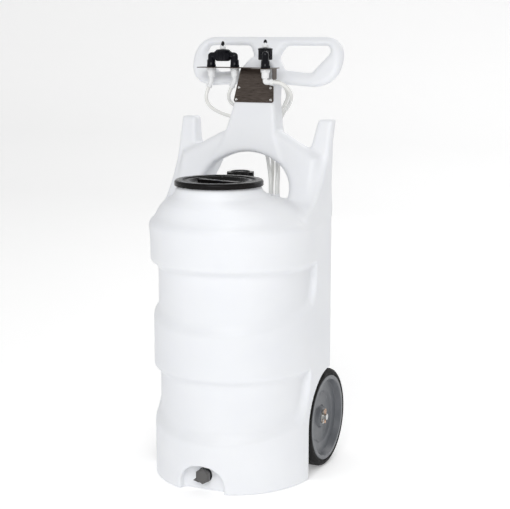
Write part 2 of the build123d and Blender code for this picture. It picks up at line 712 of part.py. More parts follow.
# Each hose runs from a barb under the shelf, behind the post and down to the rear deck.
HOSE_END_Z = PAD_Z + 12
HOSES = {
    "left_outer": [(-130.3, 124.9, 972.6), (-137.5, 117.7, 950.9), (-129, 119, 925),
                   (-106, 136, 906), (-70, 166, 892), (-42, 184, 874), (-16, 188, 846),
                   (4, 182, 816), (17, 170, 788), (29, 152, 762), (38, 138, 742)],
    "left_inner": [(-67.8, 130, 972.5), (-77, 130, 956), (-80, 141, 937), (-73, 162, 923),
                   (-56, 184, 914), (-32, 198, 900), (-8, 204, 878), (7, 205, 846),
                   (16, 200, 810), (25, 184, 776), (33, 164, 748)],
    "right_front": [(77, 60.7, 990), (99, 60.7, 990), (116, 68, 975), (118, 86, 957),
                    (106, 110, 942), (88, 140, 930), (70, 168, 919), (52, 187, 907),
                    (39, 194, 882), (36, 192, 840), (42, 172, 790), (55, 144, 750)],
    "right_rear": [(50, 121.3, 990), (69, 121.3, 990), (82, 130, 976), (82, 147, 958),
                   (70, 171, 942), (52, 194, 926), (37, 207, 900), (31, 209, 862),
                   (33, 202, 820), (40, 186, 782), (49, 164, 748)],
}
ARC_SHARE = 0.45
for name, (x, y) in HOSE_SPOTS.items():
    HOSES[name] += [(x, y, 724), (x, y, HOSE_END_Z)]


def hose_path(route):
    """Corner radii of a route: each arc as large as its two runs allow."""
    points = [Vector(*point) for point in route]
    runs = [end - start for start, end in zip(points, points[1:])]
    radii = []
    for before, after in zip(runs, runs[1:]):
        half_turn = radians(before.get_angle(after)) / 2
        radii.append(ARC_SHARE * min(before.length, after.length) / tan(half_turn))
    return runs, radii


for name, route in HOSES.items():
    runs, radii = hose_path(route)
    with BuildPart() as hose:
        with BuildLine() as path:
            FilletPolyline(*route, radius=radii)
        with BuildSketch(Plane(origin=route[0], z_dir=runs[0])):
            Circle(HOSE_R)
        sweep(path=path.wires()[0])
    length = path.wires()[0].length
    share = hose.part.volume / (pi * HOSE_R ** 2 * length)
    print(f"hose_{name}: length {length:.0f}, least radius {min(radii):.0f}, volume share {share:.4f}")
    export(hose.part, f"hose_{name}")

OUTLETS = {"left_outer": ELBOWS[0], "left_inner": ELBOWS[1], "right_front": ELBOWS[3],
           "right_rear": ELBOWS[2]}
with BuildPart() as hose_barbs:
    for name, (x, y) in OUTLETS.items():
        start = Vector(*HOSES[name][0])
        way = (Vector(*HOSES[name][1]) - start).normalized()
        reach = hypot(start.X - x, start.Y - y) / hypot(way.X, way.Y)
        bend = start - way * reach
        add(rod(bend, (0, 0, 1), 6, BULKHEAD_END - bend.Z))
        with Locations(bend):
            Sphere(6)
        add(rod(bend, way, 5.5, reach))
export(hose_barbs.part, "hose_barbs")

with BuildPart() as deck_fittings:
    for x, y in HOSE_SPOTS.values():
        add(rod((x, y, PAD_Z - 14), (0, 0, 1), HOSE_R + 0.45, 14 + HOSE_END_Z - PAD_Z))
        add(rod((x, y, PAD_Z), (0, 0, 1), 7.2, 4))
export(deck_fittings.part, "deck_fittings")
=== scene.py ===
import bmesh
import bpy
import json
import numpy as np
from math import atan2, cos, hypot, pi, radians, sin, tan, tau
from mathutils import Matrix, Vector


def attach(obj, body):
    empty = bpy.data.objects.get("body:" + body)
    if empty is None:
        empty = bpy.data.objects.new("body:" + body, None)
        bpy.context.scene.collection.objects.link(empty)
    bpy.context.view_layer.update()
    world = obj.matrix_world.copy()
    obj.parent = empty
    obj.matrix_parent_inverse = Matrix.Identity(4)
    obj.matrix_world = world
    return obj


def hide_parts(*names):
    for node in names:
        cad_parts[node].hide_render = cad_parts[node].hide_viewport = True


# Portable waste tote: the visible model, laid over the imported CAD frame. Lengths are
# millimetres, brought to metres by MM; -Y is the front, +Z is up and the origin is under
# the round tank's axis.

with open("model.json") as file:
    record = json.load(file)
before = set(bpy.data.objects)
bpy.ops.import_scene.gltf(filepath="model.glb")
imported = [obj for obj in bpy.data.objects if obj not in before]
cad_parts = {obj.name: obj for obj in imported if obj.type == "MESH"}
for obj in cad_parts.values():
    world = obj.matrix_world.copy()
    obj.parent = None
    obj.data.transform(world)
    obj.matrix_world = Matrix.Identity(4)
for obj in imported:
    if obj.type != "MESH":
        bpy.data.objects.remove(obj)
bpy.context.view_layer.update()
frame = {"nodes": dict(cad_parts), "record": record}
MM = 0.001

# ---------------------------------------------------------------- sizes
GRID = 4.0                  # spacing of the moulding's field
SKIN_LOW = (-220.0, -216.0, -8.0)       # corners of the box that the field fills
SKIN_HIGH = (220.0, 262.0, 1108.0)
WALL = 10.0                 # more than the CAD's wall, because the grid can't show less

REAR_Y = 172.0
REAR_CORNER_R = 45.0
BASE_R = 201.5
MID_R = 203.0
TOP_R = 210.0
SIDE_HALF = 208.0           # half width of the sides behind the round front
BODY_TOP = 652.0
# Each waist: its radius, the band over it with its lower edge, the band under it with the
# height of its upper edge from front to back, its rear end and its lower rear corner.
UPPER_WAIST = {"radius": 190.5, "over": TOP_R, "roof": 554.0, "under": MID_R, "rear": 38.0,
               "corner": 30.0, "ledge_y": (-200, -140, -90, -27, 17, 40),
               "ledge_z": (396, 406, 418, 430, 446, 457)}
LOWER_WAIST = {"radius": 187.5, "over": MID_R, "roof": 286.0, "under": BASE_R, "rear": 6.0,
               "corner": 62.0, "ledge_y": (-200, -135, -85, -36, 0),
               "ledge_z": (124, 137, 148, 158, 168)}
ROOF_RAMP = 16.0            # height of a band's sloping underside
LEDGE_SLOPE = 1.5           # fall of a ledge for each unit outward
# The bands' radius by height, and the stretch of Y over which the sides widen.
BAND_Z = [127, 200, 450, 554]
BAND_R = [BASE_R, MID_R, MID_R, TOP_R]
WIDEN_Y = [-80, 40]

LID_Y = -87.0
NECK_R = 100.0
NECK_BORE_R = 92.0
NECK_TOP = 751.0
NECK_MID = 700.0            # middle of the upright neck, most of it inside the dome
MOUTH_FLOOR = 720.0         # the neck's bore reaches down to here
LID_TOP = 761.0
LID_R = 108.5
LID_FLOOR = 751.0           # sunk middle of the lid
LID_TURN = -14.0            # degrees by which the grip bar is turned

# Dome from the body to the neck: middle and radius of its circle at each height.
ROOF_FOOT = 600.0
DOME_Z = [ROOF_FOOT, 640, 654, 670, 686, 700, 712, 722, 736]
DOME_Y = [0, 0, -3, -14, -30, -46, -60, -76, LID_Y]
DOME_R = [196, 207, 203, 190, 175, 158, 139, 117, 102]
DOME_STEEPNESS = 1.25       # divides the dome's field, which rises faster than the distance

AXLE_Y = 134.7
AXLE_Z = 127.0
AXLE_R = 8.0
AXLE_TUNNEL_WALL = 12.0
POCKET_R = 134.0
POCKET_X = 150.0
WHEEL_X = 180.0             # middle plane of a wheel
PIN_X = 196.0

LEAN = 0.414
HANDLE_MID = (202.0, 1040.0)
HANDLE_HALF_THICK = 18.0
ARCH_HALF = 127.0
ARCH_SPRING = 708.0
ARCH_TOP = 813.0
ARM_INNER = 100.0           # inner face of the arms
ARM_OUTER = 211.0
# Rear line of the arms by height, and the rounding of their rear corner.
ARM_REAR_Z, ARM_REAR_Y = [680, 740, 840, 899], [172, 158, 155, 166]
ARM_BEND_Z, ARM_BEND_R = [700, 760, 840, 899], [45, 36, 26, 15]

DRAIN_Z = 40.0
NOTCH_Y = -172.0
NOTCH_HALF = 58.0
NOTCH_SPRING = 24.0
NOTCH_TOP = 68.0

VENT = (-20.0, 80.0)
VENT_Z = 728.0
VENT_BOSS_R = 40.0
VENT_BOSS_MID = 670.0
VENT_CLEAR_R = 44.0         # nothing stands over the boss within this radius
VENT_BORE_R = 15.5
VENT_BORE_FLOOR = 690.0
VENT_CAP_TOP = 765.0

SHELF_Z = 1022.0
STEEL = 2.0
POST_LEAN = 0.282
POST_FOOT = (115.3, 932.0)
LEFT_VALVE = (-92.0, 130.0, 0.0)
RIGHT_VALVE = (44.0, 91.0, -66.0)
VALVE_LIFT = {"left": 0.0, "right": 5.0}
ELBOW_REACH = 33.2
ELBOW_Z = 1053.0            # height at which the elbows run level into the valve
BULKHEAD_END = SHELF_Z - 24
HOSE_DIAMETER = 9.5
PAD_Z = 690.0
# Roof behind the lid, from front to back, with the pad for the hose fittings at its end.
DECK_Y = [-30, 10, 60, 108, 126, 172]
DECK_Z = [652, 684, 700, 698, PAD_Z, PAD_Z]

# Hose routes, in metres, from the barb under the shelf to the rear deck, with lengths.
HOSES = {
    "hose_left_outer": (0.377, [
        (-0.1303, 0.1249, 0.9726), (-0.1375, 0.1177, 0.9509), (-0.129, 0.119, 0.925),
        (-0.106, 0.136, 0.906), (-0.070, 0.166, 0.892), (-0.042, 0.184, 0.874),
        (-0.016, 0.188, 0.846), (0.004, 0.182, 0.816), (0.017, 0.170, 0.788),
        (0.029, 0.152, 0.762), (0.038, 0.138, 0.742), (0.040, 0.134, 0.724),
        (0.040, 0.134, 0.702)]),
    "hose_left_inner": (0.351, [
        (-0.0678, 0.130, 0.9725), (-0.077, 0.130, 0.956), (-0.080, 0.141, 0.937),
        (-0.073, 0.162, 0.923), (-0.056, 0.184, 0.914), (-0.032, 0.198, 0.900),
        (-0.008, 0.204, 0.878), (0.007, 0.205, 0.846), (0.016, 0.200, 0.810),
        (0.025, 0.184, 0.776), (0.033, 0.164, 0.748), (0.034, 0.156, 0.724),
        (0.034, 0.156, 0.702)]),
    "hose_right_front": (0.423, [
        (0.077, 0.0607, 0.990), (0.099, 0.0607, 0.990), (0.116, 0.068, 0.975),
        (0.118, 0.086, 0.957), (0.106, 0.110, 0.942), (0.088, 0.140, 0.930),
        (0.070, 0.168, 0.919), (0.052, 0.187, 0.907), (0.039, 0.194, 0.882),
        (0.036, 0.192, 0.840), (0.042, 0.172, 0.790), (0.055, 0.144, 0.750),
        (0.057, 0.134, 0.724), (0.057, 0.134, 0.702)]),
    "hose_right_rear": (0.369, [
        (0.050, 0.1213, 0.990), (0.069, 0.1213, 0.990), (0.082, 0.130, 0.976),
        (0.082, 0.147, 0.958), (0.070, 0.171, 0.942), (0.052, 0.194, 0.926),
        (0.037, 0.207, 0.900), (0.031, 0.209, 0.862), (0.033, 0.202, 0.820),
        (0.040, 0.186, 0.782), (0.049, 0.164, 0.748), (0.051, 0.156, 0.724),
        (0.051, 0.156, 0.702)]),
}

# Outlines as (across, up, corner radius); mirrored() adds the left half.
ARM_FRONT = [(100, 655, 0), (205, 655, 0), (211, 800, 60), (211, 899, 0), (171, 899, 0),
             (158, 820, 10), (100, 834, 0)]
ARM_SIDE = [(-20, 640, 0), (-30, 668, 10), (22, 698, 60), (66, 748, 80), (98, 798, 60),
            (112, 848, 60), (129, 899, 0), (166, 899, 0), (155, 840, 80), (158, 740, 80),
            (172, 680, 60), (172, 640, 0)]
ARCH_FRONT = [(190, 655, 0), (190, 806, 0), (140, 832, 40), (85, 862, 0), (62, 874, 0)]
ARCH_SIDE = [(18, 640, 0), (24, 680, 60), (58, 757, 80), (101, 874, 0), (150, 874, 0),
             (106, 757, 80), (84, 680, 60), (84, 640, 0)]
POST_FRONT = [(104, 785, 0), (74, 845, 90), (56.6, 932, 200), (45.5, 1024, 10), (20, 1052, 0)]
POST_SIDE = [(67, 785, 0), (87, 848, 200), (115.3, 932, 200), (140.4, 1021, 0), (149, 1052, 0),
             (206, 1052, 0), (198, 1021, 100), (172, 932, 200), (153, 848, 200), (138, 795, 0)]
HANDLE_FRONT = [(64, 980, 0), (141, 974.5, 60), (209, 985, 58), (209, 1100, 52)]
GRIP_HOLE = [(50, 1077.5, 16), (167.8, 1077.5, 8), (176, 1062, 8), (131, 1009, 14),
             (52, 1016, 12), (32, 1046, 20)]

# Stage, in metres: the floor's line from front to back as (along, up), soft boxes as
# (name, place, size, watts), and the camera fitted to the photograph.
FLOOR_HALF_WIDTH = 7.0
FLOOR_DROP = 0.0005         # the floor lies this far under the feet
FLOOR_LINE = [(-6.0, 0.0), (3.2, 0.0), (3.9, 0.12), (4.4, 0.45), (4.7, 1.0), (4.8, 5.0)]
FLOOR_GLOW = 0.25
WORLD_STRENGTH = 0.5
SOFT_BOXES = [("key", (0.9, -3.2, 2.7), 2.2, 71), ("back", (0.5, 3.0, 3.2), 2.6, 34)]
LIGHT_AIM = (0, 0, 0.55)
CAMERA_PLACE = (1.3764, -2.9338, 1.1206)
CAMERA_DOWN = 9.78          # degrees
CAMERA_ROUND = 24.22
CAMERA_LENS = 92.44
CAMERA_SENSOR = 36


# ---------------------------------------------------------------- fields for the moulding
def round_both(a, b, radius):
    """What lies in both shapes, with the edge between them rounded."""
    corner = np.hypot(np.maximum(radius + a, 0), np.maximum(radius + b, 0))
    return np.minimum(np.maximum(a, b), -radius) + corner


def round_either(a, b, radius):
    """Both shapes together, with a fillet where they meet."""
    return -round_both(-a, -b, radius)


def slab(z, middle, top):
    """Level slab that reaches as far under its middle as over it."""
    return np.abs(z - middle) - top + middle


def mirrored(corners):
    """The right half of a front view and its mirror image, as one outline."""
    return corners + [(-across, up, radius) for across, up, radius in reversed(corners)]


def filleted(corners, steps=6):
    """Points of a closed outline whose corners are rounded to their own radii."""
    outline = []
    for index, (across, up, radius) in enumerate(corners):
        here = Vector((across, up))
        back = (Vector(corners[index - 1][:2]) - here).normalized()
        ahead = (Vector(corners[(index + 1) % len(corners)][:2]) - here).normalized()
        if not radius:
            outline.append(tuple(here))
            continue
        half = back.angle(ahead) / 2
        centre = here + (back + ahead).normalized() * radius / sin(half)
        start = here + back * radius / tan(half) - centre
        end = here + ahead * radius / tan(half) - centre
        first = atan2(start.y, start.x)
        turn = (atan2(end.y, end.x) - first + pi) % tau - pi
        for step in range(steps + 1):
            angle = first + turn * step / steps
            outline.append((centre.x + radius * cos(angle), centre.y + radius * sin(angle)))
    return outline


def outline_field(corners, across, up):
    """Distance to a rounded outline, negative inside."""
    outline = filleted(corners)
    nearest = np.full(np.broadcast(across, up).shape, 1e6)
    inside = np.zeros(nearest.shape, bool)
    for (a0, u0), (a1, u1) in zip(outline, outline[1:] + outline[:1]):
        run_a, run_u = a1 - a0, u1 - u0
        along = ((across - a0) * run_a + (up - u0) * run_u) / (run_a ** 2 + run_u ** 2 + 1e-9)
        along = np.clip(along, 0, 1)
        away = np.hypot(across - a0 - along * run_a, up - u0 - along * run_u)
        nearest = np.minimum(nearest, away)
        if u0 != u1:
            crosses = (u0 > up) != (u1 > up)
            inside ^= crosses & (across < run_a * (up - u0) / run_u + a0)
    return np.where(inside, -nearest, nearest)


def plan_field(x, y, radius, rear=REAR_Y, bend=REAR_CORNER_R):
    """Distance to the body's plan: round at the front, flat at the back."""
    past_side = np.abs(x) - (radius - bend)
    past_rear = y - (rear - bend)
    corner = np.hypot(np.maximum(past_side, 0), np.maximum(past_rear, 0))
    square = corner + np.minimum(np.maximum(past_side, past_rear), 0) - bend
    return np.where(y < 0, np.hypot(x, y) - radius, square)


def waist_field(x, y, z, waist, soft):
    """The part that is missing from the round front where a waist runs round it."""
    outward = plan_field(x, y, waist["radius"])
    edge = np.interp(y, waist["ledge_y"], waist["ledge_z"])
    crease = edge + LEDGE_SLOPE * (waist["under"] - waist["radius"])
    below = (crease - LEDGE_SLOPE * outward - z) / hypot(1, LEDGE_SLOPE)
    ramp = ROOF_RAMP / (waist["over"] - waist["radius"])
    above = (z - waist["roof"] + ROOF_RAMP - ramp * outward) / hypot(1, ramp)
    open_side = round_both(below, y - waist["rear"], waist["corner"] * soft)
    return round_both(round_both(open_side, above, 5 * soft), -outward, 6 * soft)


def body_field(x, y, z, soft):
    """Tank walls with both waists."""
    radius = np.interp(z, BAND_Z, BAND_R)
    radius = radius + (SIDE_HALF - radius) * np.interp(y, WIDEN_Y, [0, 1])
    walls = plan_field(x, y, radius)
    body = round_both(round_both(walls, z - BODY_TOP, 10 * soft), -z, 6 * soft)
    upper = waist_field(x, y, z, UPPER_WAIST, soft)
    lower = waist_field(x, y, z, LOWER_WAIST, soft)
    return round_both(round_both(body, -upper, 3 * soft), -lower, 3 * soft)


def shoulder_field(x, y, z, soft):
    """Dome that leans from the round body to the neck, and the neck."""
    centre = np.interp(z, DOME_Z, DOME_Y)
    radius = np.interp(z, DOME_Z, DOME_R)
    dome = (np.hypot(x, y - centre) - radius) / DOME_STEEPNESS
    dome = np.maximum(np.maximum(dome, z - DOME_Z[-1]), ROOF_FOOT - z)
    dome = np.maximum(dome, y - REAR_Y + 10)
    neck = round_both(np.hypot(x, y - LID_Y) - NECK_R, slab(z, NECK_MID, NECK_TOP), 2)
    return round_either(dome, neck, 16 * soft)


def deck_field(x, y, z, soft):
    """Low roof behind the lid, with the flats for the vent and the hose fittings."""
    roof = np.interp(y, DECK_Y, DECK_Z)
    deck = round_both(plan_field(x, y, 198), (z - roof) * 0.9, 14 * soft)
    deck = np.maximum(deck, ROOF_FOOT - z)
    from_vent = np.hypot(x - VENT[0], y - VENT[1])
    boss = round_both(from_vent - VENT_BOSS_R, slab(z, VENT_BOSS_MID, VENT_Z), 3)
    deck = round_either(deck, boss, 12 * soft)
    return np.maximum(deck, -np.maximum(from_vent - VENT_CLEAR_R, VENT_Z - z))


def pocket_field(x, y, z):
    """Quarter arch for a wheel."""
    ahead = np.maximum(AXLE_Y - y, 0)
    higher = np.maximum(z - AXLE_Z, 0)
    return round_both(np.hypot(ahead, higher) - POCKET_R, POCKET_X - np.abs(x), 6)


def notch_field(x, y, z):
    """Arched notch for the drain."""
    higher = np.maximum(z - NOTCH_SPRING, 0) / (NOTCH_TOP - NOTCH_SPRING)
    arch = (np.hypot(x / NOTCH_HALF, higher) - 1) * (NOTCH_TOP - NOTCH_SPRING)
    return round_both(arch, y - NOTCH_Y, 5)


def solid_field(x, y, z, soft):
    """Outside of the tank, with all its roundings times soft."""
    body = round_either(body_field(x, y, z, soft), shoulder_field(x, y, z, soft), 14 * soft)
    body = round_either(body, deck_field(x, y, z, soft), 10 * soft)
    body = round_both(body, -pocket_field(x, y, z), 3 * soft)
    return round_both(body, -notch_field(x, y, z), 3 * soft)


def tank_field(x, y, z):
    """Hollow tank, open at the mouth and the vent."""
    shell = np.maximum(solid_field(x, y, z, 1), -(solid_field(x, y, z, 0) + WALL))
    tunnel = np.hypot(y - AXLE_Y, z - AXLE_Z) - AXLE_R - AXLE_TUNNEL_WALL
    tunnel = np.maximum(tunnel, np.abs(x) - POCKET_X)
    shell = round_either(shell, tunnel, 8)
    mouth = np.maximum(np.hypot(x, y - LID_Y) - NECK_BORE_R, MOUTH_FLOOR - z)
    vent_hole = np.maximum(np.hypot(x - VENT[0], y - VENT[1]) - VENT_BORE_R,
                           VENT_BORE_FLOOR - z)
    return np.maximum(shell, -np.minimum(mouth, vent_hole))


def frame_field(x, y, z):
    """Arms with their horns, the arch, the post and the handle."""
    arms = round_both(outline_field(mirrored(ARM_FRONT), x, z), outline_field(ARM_SIDE, y, z), 10)
    rear = np.interp(z, ARM_REAR_Z, ARM_REAR_Y)
    bend = np.interp(z, ARM_BEND_Z, ARM_BEND_R)
    arms = np.maximum(arms, plan_field(x, y, ARM_OUTER, rear, bend))
    arms = np.maximum(arms, ARM_INNER - np.abs(x))
    arch = round_both(outline_field(mirrored(ARCH_FRONT), x, z), outline_field(ARCH_SIDE, y, z), 18)
    post = round_both(outline_field(mirrored(POST_FRONT), x, z), outline_field(POST_SIDE, y, z), 8)
    frame_shape = round_either(round_either(arms, arch, 12), post, 4)
    higher = np.maximum(z - ARCH_SPRING, 0) / (ARCH_TOP - ARCH_SPRING)
    opening = (np.hypot(x / ARCH_HALF, higher) - 1) * (ARCH_TOP - ARCH_SPRING)
    frame_shape = round_both(frame_shape, -opening, 16)
    middle = HANDLE_MID[0] + LEAN * (z - HANDLE_MID[1])
    board = np.abs(y - middle) / hypot(1, LEAN) - HANDLE_HALF_THICK
    face = outline_field(mirrored(HANDLE_FRONT), x, z)
    face = np.maximum(face, -outline_field(GRIP_HOLE, np.abs(x), z))
    handle = round_both(face, board, 16)
    return round_either(frame_shape, handle, 16)


def moulding_field(x, y, z):
    """The whole one-piece moulding."""
    return round_either(tank_field(x, y, z), frame_field(x, y, z), 12)


# ---------------------------------------------------------------- mesh from a field
EDGES = [(0, 1), (2, 3), (4, 5), (6, 7), (0, 2), (1, 3), (4, 6), (5, 7), (0, 4), (1, 5), (2, 6),
         (3, 7)]


def field_mesh(field, low, step):
    """Vertices and faces of the field's zero surface: one vertex for each cell it crosses."""
    inside = field < 0
    corners = [(a, b, c) for a in (0, 1) for b in (0, 1) for c in (0, 1)]
    spans = [slice(None, -1), slice(1, None)]
    filled = sum(inside[spans[a], spans[b], spans[c]].astype(np.int8) for a, b, c in corners)
    cells = np.argwhere((filled > 0) & (filled < 8))
    number = np.full(filled.shape, -1)
    number[tuple(cells.T)] = np.arange(len(cells))
    values = np.stack([field[tuple((cells + corner).T)] for corner in corners], axis=1)
    total = np.zeros((len(cells), 3))
    count = np.zeros(len(cells))
    for first, last in EDGES:
        a, b = values[:, first], values[:, last]
        crossed = (a < 0) != (b < 0)
        share = np.where(crossed, a / np.where(crossed, a - b, 1), 0)
        start, end = np.array(corners[first]), np.array(corners[last])
        total += crossed[:, None] * (start + share[:, None] * (end - start))
        count += crossed
    vertices = low + step * (cells + total / count[:, None])
    faces = []
    for axis in range(3):
        before = [slice(1, -1)] * 3
        after = [slice(1, -1)] * 3
        before[axis] = slice(0, -1)
        after[axis] = slice(1, None)
        change = inside[tuple(before)].astype(np.int8) - inside[tuple(after)]
        places = np.argwhere(change)
        way = change[tuple(places.T)]
        places[:, [k for k in range(3) if k != axis]] += 1
        one, two = np.eye(3, dtype=int)[(axis + 1) % 3], np.eye(3, dtype=int)[(axis + 2) % 3]
        ring = [number[tuple((places - away).T)] for away in (one + two, two, 0 * one, one)]
        quads = np.stack(ring, axis=1)
        quads[way < 0] = quads[way < 0][:, ::-1]
        faces.append(quads)
    return vertices, np.concatenate(faces)


# ---------------------------------------------------------------- pieces
def place(point, axis=(0, 0, 1), turn=0.0):
    """From millimetres about a local Z axis to metres in the frame."""
    tilt = Vector((0, 0, 1)).rotation_difference(Vector(axis)).to_matrix().to_4x4()
    spin = Matrix.Rotation(radians(turn), 4, "Z")
    return Matrix.Scale(MM, 4) @ Matrix.Translation(point) @ tilt @ spin


def lathe(outline, where, turns=96):
    """Closed (radius, height) outline turned about the local Z axis."""
    shape = bmesh.new()
    ring = [shape.verts.new((radius, 0, height)) for radius, height in outline]
    edges = [shape.edges.new(pair) for pair in zip(ring, ring[1:] + ring[:1])]
    bmesh.ops.spin(shape, geom=ring + edges, axis=(0, 0, 1), cent=(0, 0, 0), angle=tau,
                   steps=turns, use_merge=True)
    bmesh.ops.remove_doubles(shape, verts=shape.verts, dist=1e-4)
    on_axis = [edge for edge in shape.edges
               if all(hypot(vert.co.x, vert.co.y) < 1e-4 for vert in edge.verts)]
    bmesh.ops.delete(shape, geom=on_axis, context="EDGES")
    bmesh.ops.recalc_face_normals(shape, faces=shape.faces)
    shape.transform(where)
    return shape


def prism(outline, height, where):
    """Closed outline raised along the local Z axis."""
    shape = bmesh.new()
    base = shape.faces.new([shape.verts.new((across, up, 0)) for across, up in outline])
    raised = bmesh.ops.extrude_face_region(shape, geom=[base])
    top = [item for item in raised["geom"] if isinstance(item, bmesh.types.BMVert)]
    bmesh.ops.translate(shape, verts=top, vec=(0, 0, height))
    bmesh.ops.recalc_face_normals(shape, faces=shape.faces)
    shape.transform(where)
    return shape


def ring_points(count, radius, start=0.0):
    """Corners of a regular outline."""
    return [(radius * cos(radians(start) + tau * step / count),
             radius * sin(radians(start) + tau * step / count)) for step in range(count)]


def rectangle(left, right, half):
    """Outline from left to right, and half to each side of the middle."""
    return [(left, -half), (right, -half), (right, half), (left, half)]


def round_curve(name, points, radius, roundness):
    """Smooth curve with a round section and closed ends, guided by points in metres."""
    line = bpy.data.curves.new(name, "CURVE")
    line.dimensions = "3D"
    line.bevel_depth = radius
    line.bevel_resolution = roundness
    line.resolution_u = 12
    line.use_fill_caps = True
    spline = line.splines.new("NURBS")
    spline.points.add(len(points) - 1)
    for target, point in zip(spline.points, points):
        target.co = (*point, 1)
    spline.order_u = 3
    spline.use_endpoint_u = True
    return line


def pipe(points, radius):
    """Round bar along a smooth line guided by a few points, in millimetres."""
    guides = [Vector(point) * MM for point in points]
    holder = bpy.data.objects.new("pipe", round_curve("pipe", guides, radius * MM, 8))
    shape = bmesh.new()
    made = bpy.data.meshes.new_from_object(holder)
    shape.from_mesh(made)
    bmesh.ops.remove_doubles(shape, verts=shape.verts, dist=1e-6)
    bpy.data.objects.remove(holder)
    bpy.data.meshes.remove(made)
    return shape


def piece(name, shapes, body, slot, nodes, bevel=0.0, smooth_angle=40.0):
    """One visible piece from several shapes, which rides on a body and stands for CAD nodes."""
    mesh = bpy.data.meshes.new(name)
    whole = bmesh.new()
    for shape in shapes:
        part = bpy.data.meshes.new("part")
        shape.to_mesh(part)
        shape.free()
        whole.from_mesh(part)
        bpy.data.meshes.remove(part)
    whole.to_mesh(mesh)
    whole.free()
    mesh.shade_smooth()
    mesh.set_sharp_from_angle(angle=radians(smooth_angle))
    return finish_piece(bpy.data.objects.new(name, mesh), body, slot, nodes, bevel)


def finish_piece(shown, body, slot, nodes, bevel=0.0):
    """Link, soften and paint a piece, hang it on its body and hide the CAD nodes it stands for."""
    bpy.context.scene.collection.objects.link(shown)
    if bevel:
        soften = shown.modifiers.new("soft_edges", "BEVEL")
        soften.width = bevel * MM
        soften.segments = 3
        soften.limit_method = "ANGLE"
        soften.angle_limit = radians(28)
        soften.harden_normals = True
    shown.data.materials.append(MATERIALS[slot])
    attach(shown, body)
    if nodes:
        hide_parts(*nodes)
    return shown


# ---------------------------------------------------------------- materials
def new_material(name):
    """Empty node material: its nodes, links and shader."""
    made = bpy.data.materials.new(name)
    made.use_nodes = True
    nodes = made.node_tree.nodes
    return made, nodes, made.node_tree.links, nodes["Principled BSDF"]


def noise(nodes, links, scale, detail=4.0, stretch=(1, 1, 1)):
    """Noise in object space, at so many features a metre."""
    where = nodes.new("ShaderNodeTexCoord")
    mapping = nodes.new("ShaderNodeMapping")
    mapping.inputs["Scale"].default_value = stretch
    texture = nodes.new("ShaderNodeTexNoise")
    texture.inputs["Scale"].default_value = scale
    texture.inputs["Detail"].default_value = detail
    links.new(where.outputs["Object"], mapping.inputs["Vector"])
    links.new(mapping.outputs["Vector"], texture.inputs["Vector"])
    return texture.outputs["Fac"]


def vary(nodes, links, source, low, high, target):
    """Let a noise move a value between two limits."""
    span = nodes.new("ShaderNodeMapRange")
    span.inputs["From Min"].default_value = 0.3
    span.inputs["From Max"].default_value = 0.7
    span.inputs["To Min"].default_value = low
    span.inputs["To Max"].default_value = high
    links.new(source, span.inputs["Value"])
    links.new(span.outputs["Result"], target)


def tint(nodes, links, source, dark, light, target):
    """Let a noise move the colour between two tones."""
    ramp = nodes.new("ShaderNodeValToRGB")
    ramp.color_ramp.elements[0].position = 0.32
    ramp.color_ramp.elements[1].position = 0.68
    ramp.color_ramp.elements[0].color = (*dark, 1)
    ramp.color_ramp.elements[1].color = (*light, 1)
    links.new(source, ramp.inputs["Fac"])
    links.new(ramp.outputs["Color"], target)


def relief(nodes, links, source, strength, depth, shader):
    """Bump from a noise, with its depth in metres."""
    bump = nodes.new("ShaderNodeBump")
    bump.inputs["Strength"].default_value = strength
    bump.inputs["Distance"].default_value = depth
    links.new(source, bump.inputs["Height"])
    links.new(bump.outputs["Normal"], shader.inputs["Normal"])


def moulded_plastic(name, dark, light, rough, grain, depth, sheen_scale=9.0, more=()):
    """Moulded plastic: cloudy tone, uneven gloss and a fine skin, and more inputs by name."""
    made, nodes, links, shader = new_material(name)
    tint(nodes, links, noise(nodes, links, sheen_scale), dark, light, shader.inputs["Base Color"])
    vary(nodes, links, noise(nodes, links, sheen_scale * 5), *rough, shader.inputs["Roughness"])
    relief(nodes, links, noise(nodes, links, grain, 2.0), 0.35, depth, shader)
    shader.inputs["IOR"].default_value = 1.5
    for label, value in more:
        shader.inputs[label].default_value = value
    return made


def brushed_metal(name, dark, light, rough, stretch, scale, lines):
    """Metal with a grain drawn out along one direction."""
    made, nodes, links, shader = new_material(name)
    grain = noise(nodes, links, scale, 6.0, stretch)
    tint(nodes, links, grain, dark, light, shader.inputs["Base Color"])
    vary(nodes, links, grain, *rough, shader.inputs["Roughness"])
    relief(nodes, links, grain, 0.3, lines, shader)
    shader.inputs["Metallic"].default_value = 1.0
    return made


